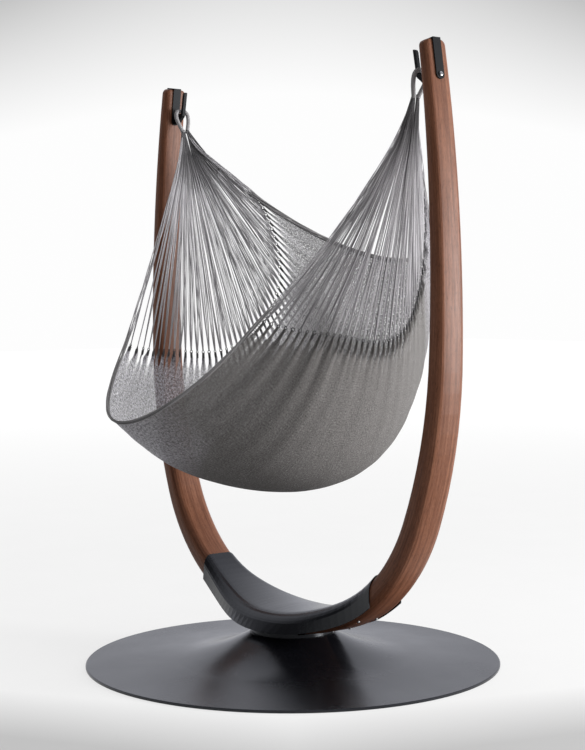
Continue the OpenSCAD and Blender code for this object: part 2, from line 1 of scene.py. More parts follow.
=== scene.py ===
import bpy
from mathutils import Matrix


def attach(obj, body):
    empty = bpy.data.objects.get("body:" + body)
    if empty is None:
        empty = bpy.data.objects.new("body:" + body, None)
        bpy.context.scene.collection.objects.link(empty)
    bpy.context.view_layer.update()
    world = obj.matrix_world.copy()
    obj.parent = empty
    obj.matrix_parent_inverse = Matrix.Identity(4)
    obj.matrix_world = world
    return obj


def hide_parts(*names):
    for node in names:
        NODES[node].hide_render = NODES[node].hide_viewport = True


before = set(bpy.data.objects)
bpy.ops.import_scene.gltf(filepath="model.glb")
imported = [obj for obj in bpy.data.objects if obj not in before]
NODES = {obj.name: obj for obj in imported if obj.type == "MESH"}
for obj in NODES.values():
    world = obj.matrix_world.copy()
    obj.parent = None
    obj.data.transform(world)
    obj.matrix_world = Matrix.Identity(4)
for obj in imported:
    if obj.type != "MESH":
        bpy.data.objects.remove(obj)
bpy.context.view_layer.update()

import math

import bpy
import numpy as np
from mathutils import Matrix, Vector

SEED = 7
rng = np.random.default_rng(SEED)

# ---------------------------------------- camera
CAMERA_PLACE = (4.2540, -3.2995, 1.2303)
CAMERA_LENS = 76.66
CAMERA_TURN = math.radians(52.16)
CAMERA_PITCH = math.radians(-2.74)
CAMERA_ROLL = math.radians(-0.32)


def make_camera():
    """A camera that looks along TURN (from +Y towards -X), tipped by PITCH and rolled by ROLL."""
    t, p, r = CAMERA_TURN, CAMERA_PITCH, CAMERA_ROLL
    ahead = Vector((-math.sin(t) * math.cos(p), math.cos(t) * math.cos(p), math.sin(p)))
    level = Vector((math.cos(t), math.sin(t), 0))
    over = level.cross(ahead)
    right = math.cos(r) * level + math.sin(r) * over
    up = -math.sin(r) * level + math.cos(r) * over
    data = bpy.data.cameras.new("camera")
    data.lens = CAMERA_LENS
    data.clip_end = 100
    camera = bpy.data.objects.new("camera", data)
    turn = Matrix((right, up, -ahead)).transposed().to_4x4()
    camera.matrix_world = Matrix.Translation(CAMERA_PLACE) @ turn
    bpy.context.scene.collection.objects.link(camera)
    bpy.context.scene.camera = camera


make_camera()

# ---------------------------------------- the hammock's shape, as in the part's source
# A side is -1 for the left end and 1 for the right one. The lists run from the cloth's front edge, where v is 0, to
# its back edge, where v is 1, in even steps.
# Where the end strings of one side meet
GATHER_X, GATHER_Z = 0.622, 1.818
# Bundles of end strings on each side
STRINGS = 44
# Degrees from straight down towards +Y, and distance, at which the cloth's middle hangs below the gathers' line
HANG_ANGLE = [-34.6, -14.8, 8.2, 28.1, 47.8]
HANG_REACH = [1.184, 1.227, 1.219, 1.039, 0.683]
# Length of the end strings, and degrees that they lean towards the middle
STRING_LEN = [0.865, 0.783, 0.766, 0.638, 0.359]
STRING_LEAN = [18.9, 12.9, 14.4, 22.0, 30.9]
# Share of a line's rise that comes steeply near its ends
STEEP_SHARE = [0.15, 0.61, 0.59, 0.57, 0.36]
# Degrees that a line's ends turn further than its middle, at the front and the back edge
LINE_TWIST = [3.4, -6.7]
# How much longer the left strings are, and how much shorter the right ones, at the front and the back edge
STRING_SKEW = [0.049, -0.008]
# How far the front edge's strings bow in towards the middle of the fan, and the share of the lines that do so
STRING_BOW = {-1: 0.013, 1: 0.033}
BOW_SHARE = 0.32
# On the left the first bundles stand further apart: by how much, and over which share of the lines
FIRST_APART = 0.10
# The steep part of a line is at least this power of the distance from its middle
LEAST_POWER = 2.05
# The rope loop: its height, its radius, and half of its route, from its top down to a leg's end
ROPE_Z = 1.918
ROPE_R = 0.0068
HALF_ROUTE = [
    (0.6504, 0, 0), (0.6504, 0.007, 0), (0.650, 0.0135, -0.0008), (0.6486, 0.0195, -0.004),
    (0.6466, 0.0238, -0.011), (0.6446, 0.0256, -0.020), (0.6414, 0.0248, -0.032), (0.637, 0.0215, -0.045),
    (0.6324, 0.0166, -0.058), (0.6284, 0.012, -0.070), (0.6256, 0.0086, -0.080),
]


def mix(a, b, t):
    return a + (b - a) * t


def smooth(a, b, x):
    """0 at a, 1 at b, and a soft step between them."""
    t = np.clip((x - a) / (b - a), 0, 1)
    return t * t * (3 - 2 * t)


def along(values, v):
    """Smooth curve through evenly spaced values, at v from 0 to 1."""
    c = np.asarray(values, float)
    n = len(c) - 1
    slopes = np.concatenate(([c[1] - c[0]], (c[2:] - c[:-2]) / 2, [c[n] - c[n - 1]]))
    at = np.clip(v, 0, 1) * n
    i = np.minimum(np.floor(at).astype(int), n - 1)
    t = at - i
    if c.ndim > 1:
        t = t[..., None]
    return (
        c[i] * (2 * t**3 - 3 * t**2 + 1) + slopes[i] * (t**3 - 2 * t**2 + t)
        + c[i + 1] * (3 * t**2 - 2 * t**3) + slopes[i + 1] * (t**3 - t**2)
    )


def radians_along(values, v):
    """The same for angles: the values are in degrees."""
    return np.radians(along(values, v))


def string_end(side, v):
    """Lower end of the end string on line v: its distance from the middle, its reach and its angle."""
    length = along(STRING_LEN, v) - side * mix(*STRING_SKEW, v)
    lean = radians_along(STRING_LEAN, v)
    angle = radians_along(HANG_ANGLE, v) + np.radians(mix(*LINE_TWIST, v))
    return GATHER_X - length * np.sin(lean), length * np.cos(lean), angle


def hung(x, reach, angle):
    """The point at x that hangs below the gathers' line by reach, swung by angle."""
    return np.stack((x, reach * np.sin(angle), GATHER_Z - reach * np.cos(angle)), -1)


def cloth_point(side, v, q):
    """A point of the cloth on line v, with q = 0 in the middle of the line and 1 at its end."""
    end_x, end_reach, _ = string_end(side, v)
    middle = along(HANG_REACH, v)
    share = along(STEEP_SHARE, v)
    drop = middle - end_reach
    steep = end_x / (np.tan(radians_along(STRING_LEAN, v)) * drop)
    power = np.maximum(LEAST_POWER, (steep - 2 * (1 - share)) / share)
    reach = middle - drop * ((1 - share) * q**2 + share * q**power)
    twist = np.radians(mix(*LINE_TWIST, v))
    return hung(side * end_x * q, reach, radians_along(HANG_ANGLE, v) + twist * q**2)


def string_foot(side, v):
    """Lower end of the end string on line v, where the cloth begins."""
    x, reach, angle = string_end(side, v)
    return hung(side * x, reach, angle)


def unit(a):
    return a / np.linalg.norm(a, axis=-1, keepdims=True)


def run_along(points):
    """Distance along a row of points, from the first one."""
    return np.concatenate(([0], np.cumsum(np.linalg.norm(np.diff(points, axis=0), axis=1))))


def knot_line(side, share):
    """The cloth's line that a share of the bundles reaches: on the left the first ones stand further apart."""
    if side > 0:
        return share
    return share + FIRST_APART * (1 - np.exp(-share / FIRST_APART)) * (1 - share)


# ---------------------------------------- mesh helpers
def new_mesh(name, points, faces, place):
    """A smooth piece. Each point's place along and across it is stored for its material."""
    mesh = bpy.data.meshes.new(name)
    mesh.from_pydata([tuple(p) for p in points], [], [tuple(int(i) for i in f) for f in faces])
    layer = mesh.attributes.new("place", "FLOAT_VECTOR", "POINT")
    layer.data.foreach_set("vector", np.asarray(place, np.float32).ravel())
    mesh.shade_smooth()
    mesh.validate()
    piece = bpy.data.objects.new(name, mesh)
    bpy.context.scene.collection.objects.link(piece)
    return piece


def path_frames(path):
    """Two unit directions across a path at each of its points, carried along without twist."""
    ahead = unit(np.gradient(path, axis=0))
    first = np.array((1.0, 0, 0)) if abs(ahead[0][0]) < 0.8 else np.array((0, 1.0, 0))
    a = unit(np.cross(ahead[0], first))
    across = [a]
    for k in range(1, len(path)):
        a = unit(a - ahead[k] * np.dot(a, ahead[k]))
        across.append(a)
    across = np.array(across)
    return across, np.cross(ahead, across)


class Tubes:
    """Collects tubes and turns them into one mesh, with each point's place along and round its tube."""

    def __init__(self):
        self.points, self.faces, self.place, self.count = [], [], [], 0

    def add(self, path, radii, sides, wobble=None, tag=0.0, caps=True):
        """One tube: wobble gives its relief by run and angle, and tag tells its cord from the others."""
        path = np.asarray(path, float)
        radii = np.broadcast_to(np.asarray(radii, float), (len(path),))
        a, b = path_frames(path)
        run = run_along(path)
        w = 2 * math.pi * np.arange(sides) / sides
        r = radii[:, None] * (1 if wobble is None else wobble(run[:, None], w[None, :]))
        ring = path[:, None] + r[..., None] * (
            np.cos(w)[None, :, None] * a[:, None] + np.sin(w)[None, :, None] * b[:, None])
        n = len(path)
        self.points.append(ring.reshape(-1, 3))
        place = np.stack(np.broadcast_arrays(run[:, None], w[None, :] / (2 * math.pi), tag), -1)
        self.place.append(place.reshape(-1, 3))
        k, i = np.meshgrid(np.arange(n - 1), np.arange(sides), indexing="ij")
        j = (i + 1) % sides
        quads = np.stack((k * sides + i, k * sides + j, (k + 1) * sides + j, (k + 1) * sides + i), -1)
        self.faces.extend((quads.reshape(-1, 4) + self.count).tolist())
        if caps:
            self.faces.append([self.count + i for i in range(sides - 1, -1, -1)])
            self.faces.append([self.count + (n - 1) * sides + i for i in range(sides)])
        self.count += n * sides

    def make(self, name):
        return new_mesh(name, np.concatenate(self.points), self.faces, np.concatenate(self.place))


# ---------------------------------------- end rope loops
SLEEVE_YARNS = 16
SLEEVE_PITCH = 0.0075
SLEEVE_DEPTH = 0.05
ROPE_STEPS = 301
ROPE_SIDES = 32


def rope_path(side):
    """The loop from one leg's end over the hook's tongue and down to the other leg's end."""
    half = np.array(HALF_ROUTE) + (0, 0, ROPE_Z)
    route = np.concatenate((half[:0:-1] * (1, -1, 1), half))
    return along(route, np.linspace(0, 1, ROPE_STEPS)) * (side, 1, 1)


def plaited(run, angle):
    """Relief of a sleeve plaited from yarns that wind both ways."""
    one = np.cos(SLEEVE_YARNS / 2 * angle + 2 * math.pi * run / SLEEVE_PITCH)
    other = np.cos(SLEEVE_YARNS / 2 * angle - 2 * math.pi * run / SLEEVE_PITCH)
    return 1 + SLEEVE_DEPTH * np.maximum(one, other)


def make_rope_loop(side, name):
    tubes = Tubes()
    tubes.add(rope_path(side), ROPE_R, ROPE_SIDES, wobble=plaited)
    return tubes.make(name)


# ---------------------------------------- end strings
STRANDS = 7
STRAND_R = 0.00105
STRAND_SIDES = 5
# How far the strands of a bundle part: the left fan is tight in front and hangs open behind, and changes between
# two lines. They part over these shares of the length
RIGHT_WIDTH = 0.0115
LEFT_WIDTHS = (0.0060, 0.0235)
LEFT_OPENS = (0.16, 0.34)
PARTED = (0.12, 0.5)
# Each bundle's own share of that width, and how far it drifts aside, as a share of its cell
OWN_WIDTH = (0.65, 1.25)
DRIFT = 0.45
# How far a strand strays in its bundle, and how much of the width is drawn in above the knot
STRAY = 0.32
DRAWN_IN, DRAWN_FROM = 0.70, 0.86
# The strands sit in a leg of the rope this far round its middle, and come out this far above its end
LEG_R = 0.0050
LEAST_CHORD = 0.02
LEG_UP = 0.010
# Runs at which the two first points lie, and the share of the length where the rest begin
FIRST_RUNS = (0.11, 0.17)
REST_FROM, REST_COUNT = 0.34, 10
# Half thickness of the fan by the run down it
FAN_RUNS = (0.0, 0.06, 0.16, 0.5)
FAN_THICK = (0.0066, 0.0046, 0.003, 0.0022)
FAN_THINS = 0.6
# A strand's radius at the rope, and where it reaches its full radius
STRAND_THIN = (0.0008, 0.0010)
STRAND_FULL = (0.1, 0.3)
STRAND_TAG = 0.004
# The whipping above each finger of cloth, and the loop that takes hold of the finger
KNOT_LEN = 0.012
WHIP_LEN, WHIP_DROP = 0.020, 0.004
WHIP_R, WHIP_BULGE, WHIP_RELIEF, WHIP_WIND = 0.0030, 0.0010, 0.16, 2400
LOOP_SIZE, LOOP_TILT = (0.0034, 0.0052), 0.6
LOOP_UP, LOOP_LONG, LOOP_YARN = 0.006, 1.25, 0.0014


def gather(side):
    return np.array((side * GATHER_X, 0, GATHER_Z))


def string_dir(side, v):
    """Unit direction from the gather down string v."""
    return unit(string_foot(side, v) - gather(side))


def fan_across(side, v):
    """Unit direction across the fan, from the front edge to the back edge, at string v."""
    step = 0.01
    return unit(string_dir(side, np.clip(v + step, 0, 1)) - string_dir(side, np.clip(v - step, 0, 1)))


def bow(side, v, t):
    """How far string v bows in at share t of its length."""
    return STRING_BOW[side] * np.clip(1 - v / BOW_SHARE, 0, 1) ** 2 * 4 * t * (1 - t)


def bundle_width(side, v):
    if side > 0:
        return RIGHT_WIDTH
    return mix(*LEFT_WIDTHS, float(smooth(*LEFT_OPENS, v)))


def string_paths(side):
    """The centre line, radii and order of every strand, from the rope's end to just above its knot."""
    top = gather(side)
    paths = []
    for i in range(STRINGS):
        v_mid, v_low, v_high = (knot_line(side, (i + f) / STRINGS) for f in (0.5, 0, 1))
        cell = v_high - v_low
        width = bundle_width(side, v_mid) * rng.uniform(*OWN_WIDTH)
        drift = rng.uniform(-DRIFT, DRIFT) * cell
        foot = string_foot(side, np.array(v_mid))
        length = np.linalg.norm(foot - top) - KNOT_LEN
        side_dir = fan_across(side, np.array(v_mid))
        normal = unit(np.cross(string_dir(side, np.array(v_mid)), side_dir)) * side
        for k in range(STRANDS):
            f = (k + 0.5) / STRANDS - 0.5
            v = v_mid + f * cell
            order = (i * STRANDS + k + 0.5) / (STRINGS * STRANDS)
            layer = rng.uniform(-1, 1)
            stray = rng.uniform(-STRAY, STRAY)
            leg = -1 if order < 0.5 else 1
            in_leg = (order * 2 % 1) * 2 - 1
            chord = math.sqrt(max(LEAST_CHORD, 1 - in_leg**2))
            leg_x, leg_y, leg_z = HALF_ROUTE[-1]
            leg_end = np.array((side * leg_x, leg * leg_y, ROPE_Z + leg_z))
            start = leg_end + np.array((layer * chord * LEG_R, in_leg * LEG_R, LEG_UP))
            run = np.concatenate((FIRST_RUNS, length * np.linspace(REST_FROM, 1, REST_COUNT)))
            run = run[run <= length + 1e-6]
            t = run / length
            parted = smooth(*PARTED, t)
            free = mix(v, v_mid, parted) + drift * np.sin(math.pi * t)
            spot = top + run[:, None] * string_dir(side, free)
            spread = width * (1 - DRAWN_IN * smooth(DRAWN_FROM, 1.0, t))
            spot = spot + ((f + stray * np.sin(math.pi * t)) * spread * parted)[:, None] * side_dir
            spot = spot + bow(side, v_mid, t)[:, None] * side_dir
            thick = np.interp(run, FAN_RUNS, FAN_THICK) * (1 - FAN_THINS * t)
            spot = spot + (layer * thick)[:, None] * normal
            path = np.concatenate(([start], spot))
            radii = np.concatenate((STRAND_THIN[:1], np.interp(run, STRAND_FULL, (STRAND_THIN[1], STRAND_R))))
            paths.append((path, radii, order))
    return paths


def make_fan(side, name):
    """Every strand as a tube, on a smooth curve with twice as many points."""
    tubes = Tubes()
    for path, radii, order in string_paths(side):
        at = np.linspace(0, 1, (len(path) - 1) * 2 + 1)
        tubes.add(along(path, at), np.interp(at, np.linspace(0, 1, len(radii)), radii), STRAND_SIDES,
                  tag=order + rng.uniform(0, STRAND_TAG), caps=False)
    return tubes.make(name)


def make_knots(side, name):
    """Each bundle's whipping, and the loop with which it takes hold of its finger of cloth."""
    tubes = Tubes()
    for i in range(STRINGS):
        v = np.array(knot_line(side, (i + 0.5) / STRINGS))
        foot, d = string_foot(side, v), string_dir(side, v)
        a = fan_across(side, v)
        b = np.cross(d, a)
        t = np.linspace(0, 1, 13)
        path = foot + d * (t * WHIP_LEN - WHIP_DROP)[:, None]
        tubes.add(path, WHIP_R + WHIP_BULGE * np.sin(math.pi * t), 10, tag=i / STRINGS,
                  wobble=lambda run, angle: 1 + WHIP_RELIEF * np.cos(angle - run * WHIP_WIND))
        turn = np.linspace(0, 2 * math.pi, 25)
        size, tilt = rng.uniform(*LOOP_SIZE), rng.uniform(-LOOP_TILT, LOOP_TILT)
        aside = unit(a * math.cos(tilt) + b * math.sin(tilt))
        ring = np.cos(turn)[:, None] * aside + LOOP_LONG * np.sin(turn)[:, None] * d
        tubes.add(foot - d * LOOP_UP + size * ring, LOOP_YARN, 7, tag=i / STRINGS, caps=False)
    return tubes.make(name)


# ---------------------------------------- cloth
# The sheet's flat size, from its front to its back edge and from end to end, and its area
FLAT_WIDTH, FLAT_LENGTH, FLAT_AREA = 1.85, 1.45, 1.95
# Columns of faces for each bundle, rows from the middle to an end, and how much closer they stand at the end
CELL_COLUMNS = 6
HALF_ROWS = 78
ROW_POWER = 1.25
# At each knot the cloth ends in a finger: its length, the length over which it widens to the whole cloth, its
# width as a share of its cell, and how far it is rounded
FINGER = 0.026
FINGER_FLARE = 0.036
FINGER_WIDTH = 0.42
FINGER_ROUND = 0.0040
# Puckers below each knot, pleats and broad folds: height, and distance from the knots at which they fade
PUCKER, PUCKER_FADE = 0.0036, 0.060
PLEAT, PLEAT_FADE = 0.0130, {-1: 0.18, 1: 0.30}
FOLD, FOLD_FADE = 0.006, 0.40
# Pleats and folds stay off this share of the lines at each edge
EDGE_SHARE = 0.07
LINE_STEPS = 240


def line_table(side, v):
    """The run along line v, for places from its middle to its end."""
    q = np.linspace(0, 1, LINE_STEPS)
    return q, run_along(cloth_point(side, np.full(LINE_STEPS, v), q))


def cloth_up(side, v, q):
    """Unit normal of the cloth, pointing out of the bag."""
    e = 0.004
    dq = cloth_point(side, v, np.minimum(q + e, 1)) - cloth_point(side, v, np.maximum(q - e, 0))
    dv = cloth_point(side, np.minimum(v + e, 1), q) - cloth_point(side, np.maximum(v - e, 0), q)
    return -unit(np.cross(dq, dv)) * side


def waves(count, rates, least):
    """Waves across the cloth: how many there are on its width, where each starts, and its share of the height."""
    return [(rng.uniform(*rates), rng.uniform(0, 6.28), rng.uniform(least, 1.0)) for _ in range(count)]


PLEATS = waves(7, (9, 26), 0.5)
FOLDS = waves(5, (3, 9), 0.4)


def cloth_relief(side, v, from_end, run):
    """Height of the pleats and folds, out of the bag, by the distance from the row of knots."""
    puckers = np.cos(2 * math.pi * (v * STRINGS - 0.5)) * PUCKER * np.exp(-from_end / PUCKER_FADE)
    pleats = sum(a * np.cos(2 * math.pi * f * v + p + 2.2 * side + 0.8 * np.sin(7 * run))
                 for f, p, a in PLEATS) / len(PLEATS)
    folds = sum(a * np.cos(2 * math.pi * f * v + p + side + 0.5 * run) for f, p, a in FOLDS) / len(FOLDS)
    inside = float(smooth(0.0, EDGE_SHARE, v) * smooth(0.0, EDGE_SHARE, 1 - v))
    return inside * (puckers + PLEAT * pleats * np.exp(-from_end / PLEAT_FADE[side])
                     + FOLD * folds * np.exp(-from_end / FOLD_FADE))


def cloth_side(side):
    """Columns of points from the middle out to one end, in one strip for each bundle."""
    strips = []
    down = np.linspace(0, 1, HALF_ROWS + 1)
    for i in range(STRINGS):
        mid = (i + 0.5) / STRINGS
        cols = []
        for c in range(CELL_COLUMNS + 1):
            v = (i + c / CELL_COLUMNS) / STRINGS
            q_table, run_table = line_table(side, knot_line(side, v))
            total = run_table[-1]
            run = total * (1 - (1 - down) ** ROW_POWER)
            q = np.interp(run, run_table, q_table)
            from_end = total - run
            narrow = mix(FINGER_WIDTH, 1, smooth(FINGER, FINGER + FINGER_FLARE, from_end))
            share = mix(mid, v, narrow)
            v_in = mix(share, knot_line(side, share), q**2)
            spot = cloth_point(side, v_in, q)
            up = cloth_up(side, v_in, q)
            lift = cloth_relief(side, v, from_end, run) * smooth(0, FINGER, from_end)
            crown = (1 - (2 * c / CELL_COLUMNS - 1) ** 2) * smooth(FINGER + FINGER_FLARE, FINGER, from_end)
            spot = spot + up * (lift + FINGER_ROUND * crown)[:, None]
            cols.append((spot, np.stack((side * run, np.full_like(run, v * FLAT_WIDTH), from_end), -1)))
        strips.append(cols)
    return strips


def make_cloth():
    """One sheet: columns share their points where the cloth is whole, and each finger has its own."""
    points, place, faces = [], [], []
    index = {}

    def vertex(key, spot, where):
        if key not in index:
            index[key] = len(points)
            points.append(spot)
            place.append(where)
        return index[key]

    for side in (-1, 1):
        for i, cols in enumerate(cloth_side(side)):
            grid = []
            for c, (spots, where) in enumerate(cols):
                shared = where[:, 2] >= FINGER + FINGER_FLARE
                column = i * CELL_COLUMNS + c
                line = []
                for r in range(len(spots)):
                    whole = shared[r] or 0 < c < CELL_COLUMNS
                    key = (0 if r == 0 else side, column, r) if whole else (side, i, c, r)
                    line.append(vertex(key, spots[r], where[r]))
                grid.append(line)
            for c in range(CELL_COLUMNS):
                for r in range(len(grid[c]) - 1):
                    quad = (grid[c][r], grid[c + 1][r], grid[c + 1][r + 1], grid[c][r + 1])
                    faces.append(quad if side > 0 else quad[::-1])
    return new_mesh("cloth", points, faces, place)


# ---------------------------------------- bundles along the long edges
# Points on the cloth's half and on the string, and on the whole route once they are spaced evenly
EDGE_CLOTH_STEPS, EDGE_STRING_STEPS, EDGE_STEPS = 60, 39, 420
EDGE_SMOOTHINGS = 6
# The line beside the edge, which tells which way is out
BESIDE_EDGE = 0.01
# Where the bundle leaves the rope, and the share of the string over which it comes out of it
EDGE_TOP = (0.6256, 0.0120, -0.076)
EDGE_JOINS = 0.16
# Over this length at the foot of the string the roll opens out: it gets wider and thicker, and its cords thinner
OPENS_OVER = 0.05
STRUNG_WIDE, STRUNG_THICK, STRUNG_CORD = 1.5, 1.3, 0.50
# The bundle is slimmer at the rope, and swells to its full size over this length
SLIM, SLIM_OVER = 0.45, 0.35
# The cords' turn is uneven by this much, over waves of this many radians to the metre
UNEVEN, UNEVEN_RATE = 0.35, 9
CORD_SIDES = 7


def edge_route(v, offset):
    """From one rope's end down the outermost string, along the cloth's edge and up to the other rope.

    Returns the points, the run along them, and how far each is strung: 0 on the cloth and 1 on the strings.
    """
    parts = []
    for side in (-1, 1):
        q_table, run_table = line_table(side, v)
        run = np.linspace(0, run_table[-1], EDGE_CLOTH_STEPS)
        q = np.interp(run, run_table, q_table)
        line = cloth_point(side, np.full_like(q, v), q)
        near = cloth_point(side, np.full_like(q, BESIDE_EDGE if v < 0.5 else 1 - BESIDE_EDGE), q)
        line = line + unit(line - near) * offset
        foot, top = line[-1], gather(side)
        leg = -1 if v < 0.5 else 1
        rope_end = np.array((side * EDGE_TOP[0], leg * EDGE_TOP[1], ROPE_Z + EDGE_TOP[2]))
        t = np.linspace(1, 0, EDGE_STRING_STEPS + 1)[1:]
        string = top + (foot - top) * t[:, None]
        string = string + bow(side, v, t)[:, None] * fan_across(side, np.array(v))
        string = mix(string, rope_end, smooth(EDGE_JOINS, 0.0, t)[:, None])
        whole = np.concatenate((line, string))
        parts.append(whole[::-1] if side < 0 else whole[1:])
    route = np.concatenate(parts)
    for _ in range(EDGE_SMOOTHINGS):
        route[1:-1] = (route[:-2] + 2 * route[1:-1] + route[2:]) / 4
    run = run_along(route)
    even = np.linspace(0, run[-1], EDGE_STEPS)
    first, last = run[EDGE_STRING_STEPS - 1], run[-EDGE_STRING_STEPS]
    strung = np.maximum(smooth(first, first - OPENS_OVER, even), smooth(last, last + OPENS_OVER, even))
    return np.stack([np.interp(even, run, route[:, k]) for k in range(3)], 1), even, strung


def make_edge(name, v, cords, wide, thick, cord_r, lay, offset):
    """A flat bundle of parallel cords that turn round each other, once in each length lay."""
    tubes = Tubes()
    route, run, strung = edge_route(v, offset)
    ahead = unit(np.gradient(route, axis=0))
    out = unit(np.cross(ahead, route - gather(0)))
    facing = np.cross(out, ahead)
    ends = np.minimum(run, run[-1] - run)
    slim = mix(SLIM, 1, smooth(0, SLIM_OVER, ends))
    wide, thick = wide * mix(1, STRUNG_WIDE, strung), thick * mix(1, STRUNG_THICK, strung)
    for j in range(cords):
        phase = 2 * math.pi * j / cords
        w = phase + 2 * math.pi * run / lay + UNEVEN * np.sin(run * UNEVEN_RATE + phase * 3)
        path = route + (slim * wide / 2 * np.cos(w))[:, None] * out
        path = path + (slim * thick / 2 * np.sin(w))[:, None] * facing
        tubes.add(path, cord_r * mix(1, STRUNG_CORD, strung), CORD_SIDES, tag=(j / cords + 2 * strung)[:, None])
    return tubes.make(name)


# ---------------------------------------- build the soft pieces
cloth = make_cloth()
fan_left, fan_right = make_fan(-1, "strings_left"), make_fan(1, "strings_right")
knots_left, knots_right = make_knots(-1, "knots_left"), make_knots(1, "knots_right")
loop_left, loop_right = make_rope_loop(-1, "end_rope_left"), make_rope_loop(1, "end_rope_right")
front_edge = make_edge("front_roll", v=0.0, cords=8, wide=0.0100, thick=0.0046, cord_r=0.0023, lay=0.9, offset=0.004)
back_edge = make_edge("back_roll", v=1.0, cords=10, wide=0.0130, thick=0.0062, cord_r=0.0024, lay=0.7, offset=0.005)

SOFT_PIECES = {
    "cloth": (cloth,),
    "string": (fan_left, fan_right, knots_left, knots_right),
    "rope": (loop_left, loop_right),
    "edge_cord": (front_edge, back_edge),
}
for slot, pieces in SOFT_PIECES.items():
    for piece in pieces:
        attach(piece, "hammock")
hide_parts("bed")
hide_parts("fan_left", "gather_left")
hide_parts("fan_right", "gather_right")
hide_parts("rope_loop_left")
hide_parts("rope_loop_right")
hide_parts("front_edge_rope")
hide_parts("back_edge_rope")


# ---------------------------------------- materials
# Nearly all of a noise texture's values lie between these
NOISE_RANGE = (0.3, 0.7)
# Each surface's material, by the surface's name
MATERIALS = {}


class Nodes:
    """Lays out a tree of shader nodes by short calls. Lengths are in metres."""

    def __init__(self, tree):
        self.tree = tree

    def node(self, kind, *values, **settings):
        """A new node whose first inputs take values."""
        made = self.tree.nodes.new("ShaderNode" + kind)
        for key, value in settings.items():
            setattr(made, key, value)
        for socket, value in zip(made.inputs, values):
            self.feed(socket, value)
        return made

    def feed(self, socket, value):
        if isinstance(value, bpy.types.NodeSocket):
            self.tree.links.new(value, socket)
        else:
            socket.default_value = value

    def calc(self, operation, *values):
        return self.node("Math", *values, operation=operation).outputs[0]

    def times(self, product, *factors):
        for factor in factors:
            product = self.calc("MULTIPLY", product, factor)
        return product

    def plus(self, a, b):
        return self.calc("ADD", a, b)

    def less(self, a, b):
        return self.calc("SUBTRACT", a, b)

    def length(self, x, y):
        return self.calc("SQRT", self.plus(self.times(x, x), self.times(y, y)))

    def towards(self, x, y, side):
        """How far the place or direction x, y lies to that side."""
        return self.plus(self.times(x, side[0]), self.times(y, side[1]))

    def parts(self, vector):
        return self.node("SeparateXYZ", vector).outputs

    def joined(self, x, y, z):
        return self.node("CombineXYZ", x, y, z).outputs[0]

    def scaled(self, axes, rates):
        """A place for a texture: each number of axes times its own rate."""
        return self.joined(*(self.times(axis, rate) for axis, rate in zip(axes, rates)))

    def place(self):
        """Rest position of the point that is shaded: it moves with its body."""
        return self.node("TexCoord").outputs["Object"]

    def stored(self):
        """The place along and across its piece that each point of a soft piece keeps."""
        return self.node("Attribute", attribute_name="place").outputs["Vector"]

    def noise(self, at, scale=1.0, detail=3.0, roughness=0.5):
        made = self.node("TexNoise", at)
        for key, value in (("Scale", scale), ("Detail", detail), ("Roughness", roughness)):
            made.inputs[key].default_value = value
        return made.outputs["Fac"]

    def ramp(self, factor, *stops):
        """Colours, or greys given as one number, at places from 0 to 1."""
        made = self.node("ValToRGB", factor)
        elements = made.color_ramp.elements
        while len(elements) < len(stops):
            elements.new(1.0)
        for element, (where, colour) in zip(elements, stops):
            element.position = where
            element.color = (*colour, 1) if isinstance(colour, tuple) else (colour, colour, colour, 1)
        return made.outputs[0]

    def span(self, value, low, high, to_low, to_high):
        return self.node("MapRange", value, low, high, to_low, to_high).outputs[0]

    def spread(self, noise, to_low, to_high):
        """A noise texture's values, spread from to_low to to_high."""
        return self.span(noise, *NOISE_RANGE, to_low, to_high)

    def blend(self, factor, a, b, how="MIX"):
        made = self.node("Mix", factor, data_type="RGBA", blend_type=how)
        self.feed(made.inputs[6], (*a, 1) if isinstance(a, tuple) else a)
        self.feed(made.inputs[7], (*b, 1) if isinstance(b, tuple) else b)
        return made.outputs[2]

    def dimmed(self, tone, share):
        """The colour tone times the grey number share."""
        return self.blend(1.0, tone, self.joined(share, share, share), "MULTIPLY")

    def seen_directly(self):
        """1 for rays from the camera, from a mirror or through glass, 0 for rays that carry light."""
        rays = self.node("LightPath").outputs
        both = self.calc("MAXIMUM", rays["Is Camera Ray"], rays["Is Glossy Ray"])
        return self.calc("MAXIMUM", both, rays["Is Transmission Ray"])


class Surface(Nodes):
    """A new material, and its nodes."""

    def __init__(self, name, **sockets):
        self.material = MATERIALS[name] = bpy.data.materials.new(name)
        self.material.use_nodes = True
        super().__init__(self.material.node_tree)
        self.shader = self.tree.nodes["Principled BSDF"]
        self.put(**sockets)

    def put(self, **sockets):
        for key, value in sockets.items():
            self.feed(self.shader.inputs[key.replace("_", " ")], value)

    def show(self, share, under, over):
        """Shows the shader under, and over in its place by share."""
        mixed = self.node("MixShader", share, under.outputs[0], over.outputs[0])
        self.feed(self.tree.nodes["Material Output"].inputs["Surface"], mixed.outputs[0])

    def bump(self, height, strength, distance, under=None):
        made = self.node("Bump")
        made.inputs["Strength"].default_value = strength
        made.inputs["Distance"].default_value = distance
        self.feed(made.inputs["Height"], height)
        if under is not None:
            self.feed(made.inputs["Normal"], under)
        self.put(Normal=made.outputs[0])
        return made.outputs[0]


def coated_metal(name, dark, light, rough, specular):
    """Satin powder coat: a fine orange peel, and a little dust and rubbing in large soft patches."""
    m = Surface(name, Specular_IOR_Level=specular, Specular_Tint=(0.90, 0.94, 1.0, 1.0))
    at = m.place()
    patches = m.noise(at, scale=4.0, detail=4.0, roughness=0.6)
    specks = m.noise(at, scale=420.0, detail=2.0)
    m.put(Base_Color=m.ramp(patches, (0.30, dark), (0.75, light)))
    m.put(Roughness=m.plus(m.spread(patches, rough, rough + 0.07), m.times(specks, 0.05)))
    m.bump(m.noise(at, scale=900.0, detail=2.0), strength=0.10, distance=0.0003)


